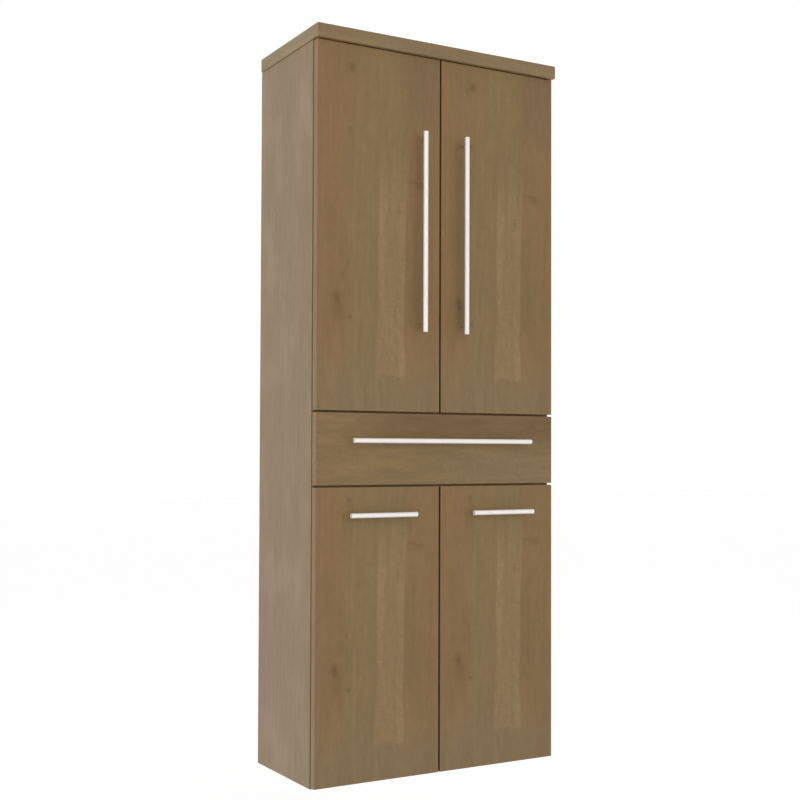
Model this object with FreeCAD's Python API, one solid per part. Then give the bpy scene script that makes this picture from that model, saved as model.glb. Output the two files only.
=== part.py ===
import FreeCAD, Part
import os
from math import atan2, cos, degrees, hypot, radians, sin

Vector = FreeCAD.Vector

# Tall wall-hung bathroom cabinet.  Millimetres, +Z up, the fronts face -Y.
# Origin: middle of the overall box in X and Y, underside of the side panels in Z.

# ---------------------------------------------------------------- driving dimensions
body_width = 600.0            # outside of the two side panels
body_height = 1610.5          # side panels, bottom to top
side_depth = 305.0            # side panels, front edge to rear edge
board = 16.0                  # carcass board
cover_thick = 29.5            # cover plate on top
cover_side_overhang = 3.0
cover_front_overhang = 10.0   # ahead of the door faces
cover_rear_inset = 3.5        # rear edge ahead of the sides' rear edges
front_thick = 19.0            # doors and drawer front
front_back_gap = 2.0          # fronts to carcass front edges
front_gap = 4.5               # between neighbouring fronts
bottom_gap = 3.0              # below the lower doors, up from the sides' underside
cover_gap = 2.5               # between the upper doors and the cover plate
edge_reveal = 1.0             # door edge inside the side's outer face
lower_door_height = 639.3
drawer_front_height = 157.0
edge_round = 1.0              # softened edges of the fronts and the cover plate

back_thick = 3.0              # hardboard back in grooves
back_recess = 18.0            # behind the back, room for the hangers
groove_depth = 8.0
groove_slack = 0.2

bar_dia = 11.0                # bar handles
bar_standoff = 29.5           # bar axis to door face
post_dia = 8.0
long_bar_length = 448.0
long_bar_hole_spacing = 416.0
short_bar_length = 158.0
short_bar_hole_spacing = 128.0
upper_bar_from_middle = 52.4  # bar axis to the cabinet's middle
upper_bar_raise = 1.0         # bar centre above the door's centre
bar_below_top = 60.5          # drawer bar and lower bars, below the front's top edge
handle_screw_dia = 4.0
handle_screw_head = 7.6
handle_screw_head_high = 2.2
handle_screw_bite = 12.0      # length of thread in the post

shelf_inset = 25.0            # shelf front edge behind the carcass front edge
shelf_side_gap = 1.0
shelf_rear_gap = 2.0
system_pitch = 32.0
system_line = 37.0            # first row of holes behind the carcass front edge
peg_dia = 5.0
peg_deep = 9.0
peg_seat = 7.0                # reach of the seat under the shelf
peg_seat_high = 5.0

hinge_end = 100.0             # hinge centre to the door's end
cup_dia = 35.0
cup_deep = 12.0
cup_wall = 0.8
cup_edge = 4.0                # wood between door edge and cup
cup_flange = 1.0
arm_pivot_u = 28.0            # u: inwards from the side's outer face
arm_pivot_v = 4.0             # v: backwards from the carcass front edge
cup_pivot_u = 11.0
cup_pivot_v = -5.0
link_thick = 2.4
link_width = 10.0
arm_width = 14.6
arm_wall = 1.5
arm_long = 64.0
arm_top_u = 32.0
arm_foot_u = 20.0
arm_nose_dia = 7.0            # rounded front of the arm's cheeks
arm_pin_dia = 3.0
arm_eye_dia = 6.0             # the link's eye on the arm's pin
cup_pin_dia = 2.4
cup_eye_dia = 5.2
dowel_from_middle = 22.5      # press-in dowels of the cup's flange
dowel_dia = 8.0
dowel_deep = 10.0
dowel_setback = 9.5
wing_wide = 12.0
plate_thick = 2.5
plate_half_high = 24.0

drawer_side = 12.0
drawer_side_high = 110.0
drawer_base = 5.0
drawer_base_raise = 8.0
drawer_long = 250.0
runner_wide = 12.7            # room for the runner on each side
runner_high = 45.0
runner_sheet = 1.2
ball_dia = 3.0
ball_slack = 0.05
ball_count = 6
ball_pitch = 18.0

hanger_wide = 18.0
hanger_high = 60.0
hanger_deep = 42.0
wall_plate_sheet = 1.5
wall_plate_wide = 60.0
wall_plate_hole = 6.5
wall_plate_hole_spacing = 32.0

hook_sheet = 3.5
hook_u = 25.0                 # middle of the hook, inwards from the side's outer face
hook_wide = 8.0
hook_below_panel = 8.0
hook_clear = 0.4
wall_plate_lip = 8.0
wall_plate_low = 45.0
wall_plate_ledge = 10.0       # the plate's upstand to the wall
wall_plate_inset = 4.0

screw_dia = 5.0               # system screws in the side panels
screw_long = 11.0
screw_head_dia = 7.6
screw_head_high = 1.5
cover_screw_hole = 4.4
cover_screw_shank = 4.0
cover_screw_long = 22.0
cover_screw_inset = 60.0
cover_screw_head_dia = 8.4
cover_screw_head_high = 2.0

bumper_dia = 5.5
bumper_thick = 1.9
bumper_x = 20.0
drawer_bumper_x = 250.0

running = 0.05                # pins, shanks and cups in their holes

# ---------------------------------------------------------------- derived planes
inner_half = body_width / 2 - board
total_depth = side_depth + front_back_gap + front_thick + bar_standoff + bar_dia / 2
back_y = total_depth / 2
edge_y = back_y - side_depth                      # carcass front edges
front_back_y = edge_y - front_back_gap            # rear faces of the fronts
face_y = front_back_y - front_thick               # faces of the fronts
bar_y = face_y - bar_standoff
back_front_y = back_y - back_recess - back_thick  # the back panel's front face

lower_z0 = bottom_gap
lower_z1 = lower_z0 + lower_door_height
drawer_z0 = lower_z1 + front_gap
drawer_z1 = drawer_z0 + drawer_front_height
upper_z0 = drawer_z1 + front_gap
upper_z1 = body_height - cover_gap
divider_low_z = (lower_z1 + drawer_z0) / 2 - board / 2
divider_high_z = (drawer_z1 + upper_z0) / 2 - board / 2
door_wide = body_width / 2 - edge_reveal - front_gap / 2
door_mid_x = (front_gap / 2 + body_width / 2 - edge_reveal) / 2

upper_clear_z0 = divider_high_z + board
upper_clear_z1 = body_height - board
upper_step = (upper_clear_z1 - upper_clear_z0 - 2 * board) / 3
shelf_levels = {
    "shelf_upper_high": upper_clear_z0 + 2 * upper_step + board,
    "shelf_upper_low": upper_clear_z0 + upper_step,
    "shelf_lower": (board + divider_low_z - board) / 2,
}
rear_line = system_line + 6 * system_pitch
hinge_levels = {
    "upper": (upper_z0 + hinge_end, upper_z1 - hinge_end),
    "lower": (lower_z0 + hinge_end, lower_z1 - hinge_end),
}
all_hinge_levels = hinge_levels["lower"] + hinge_levels["upper"]

box_half = inner_half - runner_wide               # drawer box, half its outside width
box_z0 = divider_low_z + board + (divider_high_z - divider_low_z - board - drawer_side_high) / 2
box_z1 = box_z0 + drawer_side_high
box_y0 = front_back_y
box_y1 = box_y0 + drawer_long
runner_z = (box_z0 + box_z1) / 2
runner_y0 = edge_y + front_back_gap
runner_y1 = runner_y0 + drawer_long
runner_lines = (system_line, system_line + 3 * system_pitch, system_line + 6 * system_pitch)
ball_gap = ball_dia + 2 * ball_slack
hook_top_z = body_height - board - hook_below_panel
wall_plate_z1 = hook_top_z - hook_sheet - hook_clear      # top of the plate's upstand
cup_mid_u = edge_reveal + cup_edge + cup_dia / 2
cup_floor_v = -front_back_gap - cup_deep
drawer_bar_z = drawer_z1 - bar_below_top
lower_bar_z = lower_z1 - bar_below_top
upper_bar_z = (upper_z0 + upper_z1) / 2 + upper_bar_raise

nodes = {}


# ---------------------------------------------------------------- helpers
def box(x0, x1, y0, y1, z0, z1):
    return Part.makeBox(x1 - x0, y1 - y0, z1 - z0, Vector(x0, y0, z0))


def rod(dia, start, end):
    start, end = Vector(*start), Vector(*end)
    return Part.makeCylinder(dia / 2, (end - start).Length, start, end - start)


def fuse(shapes):
    return shapes[0].multiFuse(shapes[1:]).removeSplitter()


def mirrored(shape):
    return shape.mirror(Vector(0, 0, 0), Vector(1, 0, 0))


def round_edges(shape, radius, chosen):
    return shape.makeFillet(radius, [e for e in shape.Edges if chosen(e)])


def on_plane(edge, axis, value):
    return all(abs(getattr(v.Point, axis) - value) < 1e-6 for v in edge.Vertexes)


def soft_front(x0, x1, z0, z1):
    """A door or drawer front with the four edges of its face softened."""
    panel = box(x0, x1, face_y, front_back_y, z0, z1)
    return round_edges(panel, edge_round, lambda e: on_plane(e, "y", face_y))


# ---------------------------------------------------------------- carcass
def peg_levels():
    """Heights of the shelf pegs' centres, each the middle of a short row of holes."""
    return [z - peg_seat_high / 2 for z in shelf_levels.values()]


def side_holes():
    """Blind holes in the left side panel, bored from its inner face."""
    inner = -inner_half
    tools = []
    for middle in peg_levels():
        for step in (-2, -1, 0, 1, 2):
            for line in (system_line, rear_line):
                y, z = edge_y + line, middle + step * system_pitch
                tools.append(rod(peg_dia, (inner, y, z), (inner - peg_deep - 1, y, z)))
    bore = screw_dia + 2 * running
    for level in all_hinge_levels:
        for step in (-0.5, 0.5):
            y, z = edge_y + system_line, level + step * system_pitch
            tools.append(rod(bore, (inner, y, z), (inner - screw_long - 0.5, y, z)))
    for line in runner_lines:
        y = edge_y + line
        tools.append(rod(bore, (inner, y, runner_z), (inner - screw_long - 0.5, y, runner_z)))
    return tools


def groove(x0, x1, z0, z1):
    return box(x0, x1, back_front_y - groove_slack / 2, back_front_y + back_thick + groove_slack, z0, z1)


def carcass():
    half = body_width / 2
    side = box(-half, -inner_half, edge_y, back_y, 0, body_height)
    slot = groove(-inner_half - groove_depth, -inner_half, 0, body_height)
    side = side.cut([slot] + side_holes())
    nodes["side_panel_left"] = side
    nodes["side_panel_right"] = mirrored(side)

    reach = inner_half
    bottom = box(-reach, reach, edge_y, back_y, 0, board)
    nodes["bottom_panel"] = bottom.cut(groove(-reach, reach, board - groove_depth, board))
    top = box(-reach, reach, edge_y, back_y, body_height - board, body_height)
    top = top.cut(groove(-reach, reach, body_height - board, body_height - board + groove_depth))
    nodes["top_panel"] = top.cut([rod(cover_screw_hole, (x, y, body_height - board), (x, y, body_height))
                                  for x, y in cover_screw_places()])
    for name, z in (("divider_panel_lower", divider_low_z), ("divider_panel_upper", divider_high_z)):
        nodes[name] = box(-reach, reach, edge_y, back_front_y, z, z + board)

    reach = inner_half + groove_depth - 0.5
    back = box(-reach, reach, back_front_y, back_front_y + back_thick,
               board - groove_depth + 0.5, body_height - board + groove_depth - 0.5)
    nodes["back_panel"] = back.cut([hook_slot(), mirrored(hook_slot())])


def cover_screw_places():
    xs = (-inner_half + cover_screw_inset, 0, inner_half - cover_screw_inset)
    return [(x, y) for x in xs for y in (edge_y + cover_screw_inset, back_front_y - cover_screw_inset)]


def cover():
    half = body_width / 2 + cover_side_overhang
    z0, z1 = body_height, body_height + cover_thick
    front = face_y - cover_front_overhang
    plate = box(-half, half, front, back_y - cover_rear_inset, z0, z1)

    def soft(edge):
        sides = on_plane(edge, "x", half) or on_plane(edge, "x", -half)
        return on_plane(edge, "y", front) or (sides and (on_plane(edge, "z", z1) or on_plane(edge, "z", z0)))
    plate = round_edges(plate, edge_round, soft)
    pilots = [rod(cover_screw_shank + 2 * running, (x, y, z0), (x, y, z0 + cover_screw_long - board + 0.5))
              for x, y in cover_screw_places()]
    nodes["cover_plate"] = plate.cut(pilots)
    under = z0 - board
    screws = []
    for x, y in cover_screw_places():
        head = rod(cover_screw_head_dia, (x, y, under - cover_screw_head_high), (x, y, under))
        shank = rod(cover_screw_shank, (x, y, under), (x, y, under + cover_screw_long))
        screws.append(fuse([head, shank]))
    nodes["cover_plate_screws"] = Part.makeCompound(screws)


def shelves():
    reach = inner_half - shelf_side_gap
    pegs = []
    for name, z in shelf_levels.items():
        nodes[name] = box(-reach, reach, edge_y + shelf_inset, back_front_y - shelf_rear_gap, z, z + board)
        for line in (system_line, rear_line):
            y, middle = edge_y + line, z - peg_seat_high / 2
            pin = rod(peg_dia - 2 * running, (-inner_half - peg_deep, y, middle), (-inner_half, y, middle))
            seat = box(-inner_half, -inner_half + peg_seat, y - 4, y + 4, z - peg_seat_high, z)
            peg = fuse([pin, seat])
            pegs += [peg, mirrored(peg)]
    nodes["shelf_supports"] = Part.makeCompound(pegs)


def bumpers():
    """Soft stops on the carcass front edges, behind the free corners of the fronts."""
    levels = [(bumper_x, (lower_z0 + board) / 2), (bumper_x, (divider_low_z + lower_z1) / 2),
              (bumper_x, (upper_z0 + divider_high_z + board) / 2),
              (bumper_x, (body_height - board + upper_z1) / 2),
              (drawer_bumper_x, (drawer_z0 + divider_low_z + board) / 2),
              (drawer_bumper_x, (divider_high_z + drawer_z1) / 2)]
    pads = []
    for x, z in levels:
        pad = rod(bumper_dia, (-x, edge_y - bumper_thick, z), (-x, edge_y, z))
        pads += [pad, mirrored(pad)]
    nodes["door_bumpers"] = Part.makeCompound(pads)


# ---------------------------------------------------------------- wall fixing
def hook_slot():
    x = -body_width / 2 + hook_u
    return box(x - hook_wide / 2 - 2, x + hook_wide / 2 + 2, back_front_y - 1, back_front_y + back_thick + 1,
               hook_top_z - hook_sheet - 10, hook_top_z + 4)


def wall_fixing():
    x_side = -inner_half
    upstand_y = back_y - wall_plate_ledge
    upstand_y1 = upstand_y + wall_plate_sheet
    # bracket: housing screwed to the side panel, with a hook that reaches through the back panel
    z1 = body_height - board - 3.0
    housing = box(x_side, x_side + hanger_wide, back_front_y - hanger_deep, back_front_y, z1 - hanger_high, z1)
    x = -body_width / 2 + hook_u
    hook_y1 = upstand_y1 + hook_clear + hook_sheet
    arm = box(x - hook_wide / 2, x + hook_wide / 2, back_front_y - 5, hook_y1, hook_top_z - hook_sheet, hook_top_z)
    tongue = box(x - hook_wide / 2, x + hook_wide / 2, hook_y1 - hook_sheet, hook_y1,
                 wall_plate_z1 - wall_plate_lip + 2, hook_top_z)
    left = fuse([housing, arm, tongue])
    nodes["hanging_brackets"] = Part.makeCompound([left, mirrored(left)])
    # plate screwed to the wall: flat leaf, ledge and upstand
    px0 = -inner_half + wall_plate_inset
    px1 = px0 + wall_plate_wide
    ledge_z = wall_plate_z1 - wall_plate_lip
    leaf_y = back_y - wall_plate_sheet
    leaf = box(px0, px1, leaf_y, back_y, ledge_z - wall_plate_low, ledge_z)
    ledge = box(px0, px1, upstand_y, back_y, ledge_z - wall_plate_sheet, ledge_z)
    upstand = box(px0, px1, upstand_y, upstand_y1, ledge_z - wall_plate_sheet, wall_plate_z1)
    plate = fuse([leaf, ledge, upstand])
    mid_x, mid_z = (px0 + px1) / 2, ledge_z - wall_plate_low / 2
    holes = [rod(wall_plate_hole, (mid_x + s * wall_plate_hole_spacing, leaf_y - 1, mid_z),
                 (mid_x + s * wall_plate_hole_spacing, back_y + 1, mid_z)) for s in (-0.5, 0.5)]
    plate = plate.cut(holes)
    nodes["wall_plates"] = Part.makeCompound([plate, mirrored(plate)])


# ---------------------------------------------------------------- hinges
# Each hinge is drawn at the left side as (u, v, height) with its middle at height 0:
# u inwards from the side's outer face, v backwards from the carcass front edge.
def placed_hinge(shape, left, level):
    moved = shape.copy()
    moved.translate(Vector(-body_width / 2, edge_y, level))
    return moved if left else mirrored(moved)


def strip(points, thick, wide):
    """A bent strip along points in the u-v plane, centred on height 0."""
    pieces = []
    for (u0, v0), (u1, v1) in zip(points, points[1:]):
        length = hypot(u1 - u0, v1 - v0)
        leaf = Part.makeBox(length, thick, wide, Vector(0, -thick / 2, -wide / 2))
        leaf.rotate(Vector(0, 0, 0), Vector(0, 0, 1), degrees(atan2(v1 - v0, u1 - u0)))
        leaf.translate(Vector(u0, v0, 0))
        pieces.append(leaf)
    for u, v in points[1:-1]:
        pieces.append(rod(thick, (u, v, -wide / 2), (u, v, wide / 2)))
    return pieces


def hinge_link():
    low = cup_floor_v + cup_wall + 2.2 + link_thick / 2
    path = [(arm_pivot_u, arm_pivot_v), (arm_pivot_u, arm_pivot_v - 5), (arm_pivot_u - 2, arm_pivot_v - 8.5),
            (cup_mid_u, low + 1.8), (cup_mid_u - 3.5, low), (cup_pivot_u + 4, low),
            (cup_pivot_u + 1, low + 1.5), (cup_pivot_u, cup_pivot_v)]
    half = link_width / 2
    eyes = [rod(arm_eye_dia, (arm_pivot_u, arm_pivot_v, -half), (arm_pivot_u, arm_pivot_v, half)),
            rod(cup_eye_dia, (cup_pivot_u, cup_pivot_v, -half), (cup_pivot_u, cup_pivot_v, half))]
    link = fuse(strip(path, link_thick, link_width) + eyes)
    bores = [rod(arm_pin_dia + 2 * running, (arm_pivot_u, arm_pivot_v, -half - 1), (arm_pivot_u, arm_pivot_v, half + 1)),
             rod(cup_pin_dia + 2 * running, (cup_pivot_u, cup_pivot_v, -half - 1),
                 (cup_pivot_u, cup_pivot_v, half + 1))]
    return link.cut(bores)


def hinge_arm():
    """Channel over the mounting plate, open towards the side panel, with its riveted front pin."""
    outer, inner = arm_width / 2, arm_width / 2 - arm_wall
    nose, nose_v = arm_nose_dia / 2, arm_pivot_v + arm_eye_dia / 2 + 1
    pieces = []
    for z0, z1 in ((inner, outer), (-outer, -inner)):
        pieces.append(box(arm_foot_u, arm_top_u, nose_v, arm_long, z0, z1))
        pieces.append(box(arm_pivot_u - nose, arm_pivot_u + nose, arm_pivot_v, nose_v, z0, z1))
        pieces.append(rod(arm_nose_dia, (arm_pivot_u, arm_pivot_v, z0), (arm_pivot_u, arm_pivot_v, z1)))
    pieces.append(box(arm_top_u - arm_wall, arm_top_u, nose_v + 1, arm_long, -outer, outer))
    pieces.append(rod(arm_pin_dia, (arm_pivot_u, arm_pivot_v, -outer - 1), (arm_pivot_u, arm_pivot_v, outer + 1)))
    return fuse(pieces)


def hinge_plate():
    """Cross-shaped mounting plate on the side panel, its rib inside the arm."""
    rib_half = arm_width / 2 - arm_wall - 0.3
    wing = box(board, board + plate_thick, system_line - 6, system_line + 6, -plate_half_high, plate_half_high)
    rib = box(board, arm_top_u - arm_wall, system_line - 9, arm_long, -rib_half, rib_half)
    bores = [rod(screw_dia + 0.4, (board - 1, system_line, s * system_pitch),
                 (board + plate_thick + 1, system_line, s * system_pitch)) for s in (-0.5, 0.5)]
    return fuse([wing, rib]).cut(bores)


def hinge_cup():
    """Cup with its flange, two press-in dowels and the riveted pin that the link turns on."""
    outer, inner = cup_dia / 2 - running, cup_dia / 2 - running - cup_wall
    top = -front_back_gap
    shell = rod(2 * outer, (cup_mid_u, top, 0), (cup_mid_u, cup_floor_v, 0))
    flange = rod(2 * outer + 4, (cup_mid_u, top, 0), (cup_mid_u, top + cup_flange, 0))
    wing_u = cup_mid_u + dowel_setback
    wing_end = dowel_from_middle + wing_wide / 2
    wing = box(wing_u - wing_wide / 2, wing_u + wing_wide / 2, top, top + cup_flange, -wing_end, wing_end)
    dowels = [rod(dowel_dia - 2 * running, (wing_u, top, s * dowel_from_middle), (wing_u, top - dowel_deep, s * dowel_from_middle))
              for s in (-1, 1)]
    body = fuse([shell, flange, wing] + dowels)
    body = body.cut(rod(2 * inner, (cup_mid_u, cup_floor_v + cup_wall, 0), (cup_mid_u, top + cup_flange + 1, 0)))
    half = ((outer - running) ** 2 - (cup_mid_u - cup_pivot_u + cup_pin_dia / 2) ** 2) ** 0.5
    pin = rod(cup_pin_dia, (cup_pivot_u, cup_pivot_v, -half), (cup_pivot_u, cup_pivot_v, half))
    return fuse([body, pin])


def hinge_pockets():
    """What a door loses for one hinge: the cup's pocket and the two dowel holes."""
    top = -front_back_gap + 1
    wing_u = cup_mid_u + dowel_setback
    tools = [rod(cup_dia, (cup_mid_u, top, 0), (cup_mid_u, cup_floor_v - running, 0))]
    for s in (-1, 1):
        tools.append(rod(dowel_dia, (wing_u, top, s * dowel_from_middle),
                         (wing_u, -front_back_gap - dowel_deep - running, s * dowel_from_middle)))
    return tools


def fixed_hinge_parts():
    arms, plates = [], []
    for left in (True, False):
        for level in all_hinge_levels:
            arms.append(placed_hinge(hinge_arm(), left, level))
            plates.append(placed_hinge(hinge_plate(), left, level))
    nodes["hinge_arms"] = Part.makeCompound(arms)
    nodes["hinge_mounting_plates"] = Part.makeCompound(plates)


def system_screws():
    """Identical screws of the hinge plates and the runners, in the side panels."""
    def screw(seat_x, y, z):
        head = rod(screw_head_dia, (seat_x, y, z), (seat_x + screw_head_high, y, z))
        shank = rod(screw_dia, (-inner_half - screw_long, y, z), (seat_x, y, z))
        return fuse([head, shank])
    screws = []
    for level in all_hinge_levels:
        for step in (-0.5, 0.5):
            screws.append(screw(-inner_half + plate_thick, edge_y + system_line, level + step * system_pitch))
    for line in runner_lines:
        screws.append(screw(-inner_half + runner_sheet, edge_y + line, runner_z))
    nodes["system_screws"] = Part.makeCompound(screws + [mirrored(s) for s in screws])


# ---------------------------------------------------------------- handles
def handle(direction, middle, length, holes, stack):
    """Bar, two posts and two screws.  direction is "x" or "z", stack the wood behind the face."""
    mx, mz = middle
    step = Vector(1, 0, 0) if direction == "x" else Vector(0, 0, 1)
    centre = Vector(mx, bar_y, mz)
    bar = Part.makeCylinder(bar_dia / 2, length, centre - step * (length / 2), step)
    bar = bar.makeFillet(0.4, [e for e in bar.Edges if isinstance(e.Curve, Part.Circle)])
    saddle = Part.makeCylinder(bar_dia / 2 + 0.02, length, centre - step * (length / 2), step)
    posts, screws = [], []
    for s in (-0.5, 0.5):
        at = centre + step * (s * holes)
        post = rod(post_dia, (at.x, face_y, at.z), (at.x, bar_y, at.z)).cut(saddle)
        bore = rod(handle_screw_dia, (at.x, face_y, at.z), (at.x, face_y - handle_screw_bite - 1, at.z))
        posts.append(post.cut(bore))
        head_y = face_y + stack
        head = rod(handle_screw_head, (at.x, head_y, at.z), (at.x, head_y + handle_screw_head_high, at.z))
        shank = rod(handle_screw_dia - 2 * running, (at.x, face_y - handle_screw_bite, at.z), (at.x, head_y, at.z))
        screws.append(fuse([head, shank]))
    return bar, Part.makeCompound(posts), Part.makeCompound(screws)


def handle_bores(direction, middle, holes, depth):
    mx, mz = middle
    tools = []
    for s in (-0.5, 0.5):
        x = mx + (s * holes if direction == "x" else 0)
        z = mz + (s * holes if direction == "z" else 0)
        tools.append(rod(handle_screw_dia + 0.3, (x, face_y - 1, z), (x, face_y + depth + 1, z)))
    return tools


# ---------------------------------------------------------------- doors
def door(name, row, left):
    z0, z1 = (upper_z0, upper_z1) if row == "upper" else (lower_z0, lower_z1)
    if row == "upper":
        direction, middle = "z", (-upper_bar_from_middle, upper_bar_z)
        length, holes = long_bar_length, long_bar_hole_spacing
    else:
        direction, middle = "x", (-door_mid_x, lower_bar_z)
        length, holes = short_bar_length, short_bar_hole_spacing
    x1 = -front_gap / 2
    panel = soft_front(x1 - door_wide, x1, z0, z1)
    tools = handle_bores(direction, middle, holes, front_thick)
    for level in hinge_levels[row]:
        tools += [placed_hinge(t, True, level) for t in hinge_pockets()]
    panel = panel.cut(tools)
    bar, posts, screws = handle(direction, middle, length, holes, front_thick)
    cups = Part.makeCompound([placed_hinge(hinge_cup(), True, z) for z in hinge_levels[row]])
    links = Part.makeCompound([placed_hinge(hinge_link(), True, z) for z in hinge_levels[row]])
    pieces = {"panel": panel, "handle_bar": bar, "handle_posts": posts, "handle_screws": screws,
              "hinge_cups": cups, "hinge_links": links}
    for piece, shape in pieces.items():
        nodes[name + "_" + piece] = shape if left else mirrored(shape)


# ---------------------------------------------------------------- drawer
def drawer():
    half, inner = box_half, box_half - drawer_side
    reach = body_width / 2 - edge_reveal
    middle = (0, drawer_bar_z)
    bores = handle_bores("x", middle, long_bar_hole_spacing, front_thick + drawer_side)
    nodes["drawer_front"] = soft_front(-reach, reach, drawer_z0, drawer_z1).cut(bores)
    bar, posts, screws = handle("x", middle, long_bar_length, long_bar_hole_spacing, front_thick + drawer_side)
    nodes["drawer_handle_bar"] = bar
    nodes["drawer_handle_posts"] = posts
    nodes["drawer_handle_screws"] = screws

    deep = drawer_side / 2
    base_z0 = box_z0 + drawer_base_raise
    slot = box(-inner - deep, inner + deep, box_y0 + drawer_side - deep, box_y1 - drawer_side + deep,
               base_z0 - groove_slack / 2, base_z0 + drawer_base + groove_slack / 2)
    side = box(-half, -inner, box_y0, box_y1, box_z0, box_z1).cut(slot)
    nodes["drawer_side_left"] = side
    nodes["drawer_side_right"] = mirrored(side)
    front = box(-inner, inner, box_y0, box_y0 + drawer_side, box_z0, box_z1)
    nodes["drawer_box_front"] = front.cut([slot] + bores)
    nodes["drawer_back"] = box(-inner, inner, box_y1 - drawer_side, box_y1, box_z0, box_z1).cut(slot)
    ease = deep - 0.5
    nodes["drawer_bottom"] = box(-inner - ease, inner + ease, box_y0 + drawer_side - ease,
                                 box_y1 - drawer_side + ease, base_z0, base_z0 + drawer_base)


def channel(x0, x1, half_high, y0, y1, open_right=True):
    """A C-section member of the runner, its web on the closed side."""
    web = (x0, x0 + runner_sheet) if open_right else (x1 - runner_sheet, x1)
    parts = [box(web[0], web[1], y0, y1, runner_z - half_high, runner_z + half_high)]
    for s in (1, -1):
        a, b = sorted((runner_z + s * half_high, runner_z + s * (half_high - runner_sheet)))
        parts.append(box(x0, x1, y0, y1, a, b))
    return fuse(parts)


def runners():
    """Three-member ball runners; the middle member travels half as far as the drawer."""
    x = -inner_half
    outer_half = runner_high / 2
    middle_half = outer_half - runner_sheet - ball_gap
    inner_member_half = middle_half - runner_sheet - ball_gap
    web = runner_sheet + screw_head_high + 0.7
    cabinet = channel(x, x + 10.0, outer_half, runner_y0, runner_y1)
    cabinet = cabinet.cut([rod(screw_dia + 0.4, (x - 1, edge_y + line, runner_z),
                               (x + runner_sheet + 1, edge_y + line, runner_z)) for line in runner_lines])
    middle = channel(x + web, x + runner_wide - runner_sheet - 0.5, middle_half, runner_y0, runner_y1)
    drawer_member = channel(x + web + runner_sheet + 1.0, x + runner_wide, inner_member_half,
                            runner_y0, runner_y1, open_right=False)
    for name, shape in (("runner_cabinet", cabinet), ("runner_middle", middle), ("runner_drawer", drawer_member)):
        nodes[name + "_left"] = shape
        nodes[name + "_right"] = mirrored(shape)

    # Balls: the outer tracks run in the rear half of the middle member, the inner ones in its front half.
    balls, cages = [], []
    row = (ball_count - 1) * ball_pitch
    mid_y = (runner_y0 + runner_y1) / 2
    tracks = ((x + 7.0, middle_half + ball_gap / 2, mid_y + drawer_long / 4),
              (x + 8.5, middle_half - runner_sheet - ball_gap / 2, mid_y - drawer_long / 4))
    for track_x, offset, centre_y in tracks:
        for s in (1, -1):
            z = runner_z + s * offset
            cage = box(track_x - 1.9, track_x + 1.9, centre_y - row / 2 - 4, centre_y + row / 2 + 4,
                       z - 0.4, z + 0.4)
            holes = []
            for i in range(ball_count):
                y = centre_y - row / 2 + i * ball_pitch
                balls.append(Part.makeSphere(ball_dia / 2, Vector(track_x, y, z)))
                holes.append(rod(ball_dia + 0.2, (track_x, y, z - 1), (track_x, y, z + 1)))
            cages.append(cage.cut(holes))
    nodes["runner_balls"] = Part.makeCompound(balls + [mirrored(b) for b in balls])
    nodes["runner_ball_cages"] = Part.makeCompound(cages + [mirrored(c) for c in cages])


# ---------------------------------------------------------------- build and write
carcass()
cover()
shelves()
bumpers()
wall_fixing()
fixed_hinge_parts()
system_screws()
for door_name, door_row, door_left in (("door_upper_left", "upper", True), ("door_upper_right", "upper", False),
                                       ("door_lower_left", "lower", True), ("door_lower_right", "lower", False)):
    door(door_name, door_row, door_left)
drawer()
runners()

os.makedirs("parts", exist_ok=True)
for node, shape in nodes.items():
    if not shape.isValid():
        raise ValueError(node + " is not a valid shape")
    shape.exportStep("parts/" + node + ".step")
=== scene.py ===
"""Tall bathroom cabinet: finishes, small fittings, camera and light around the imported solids.

Lengths are metres. In the laminate, u, v and w are millimetres across the grain, into the
board and along the grain, from the board's lowest corner.
"""

from math import cos, pi, radians, sin

import bmesh
import bpy
from mathutils import Matrix, Vector


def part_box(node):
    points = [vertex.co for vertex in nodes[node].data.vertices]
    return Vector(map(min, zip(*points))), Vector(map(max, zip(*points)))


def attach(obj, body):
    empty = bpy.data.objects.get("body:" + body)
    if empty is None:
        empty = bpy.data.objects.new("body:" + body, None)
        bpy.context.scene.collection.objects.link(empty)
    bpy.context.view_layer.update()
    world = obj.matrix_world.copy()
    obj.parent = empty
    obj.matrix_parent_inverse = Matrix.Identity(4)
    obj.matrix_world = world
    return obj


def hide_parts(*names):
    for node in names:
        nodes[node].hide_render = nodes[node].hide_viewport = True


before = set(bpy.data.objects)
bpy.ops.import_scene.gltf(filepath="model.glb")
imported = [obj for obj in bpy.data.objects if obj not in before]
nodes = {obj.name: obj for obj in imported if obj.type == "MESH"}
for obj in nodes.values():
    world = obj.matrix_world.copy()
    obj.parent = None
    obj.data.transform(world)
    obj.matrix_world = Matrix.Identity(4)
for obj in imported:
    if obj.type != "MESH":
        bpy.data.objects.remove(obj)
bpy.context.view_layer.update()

scene = bpy.context.scene

DOORS = [f"door_{row}_{side}" for row in ("upper", "lower") for side in ("left", "right")]
WHITE = (1.0, 1.0, 1.0, 1.0)

# ------------------------------------------------------------------ colours as rendered, sRGB

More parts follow.
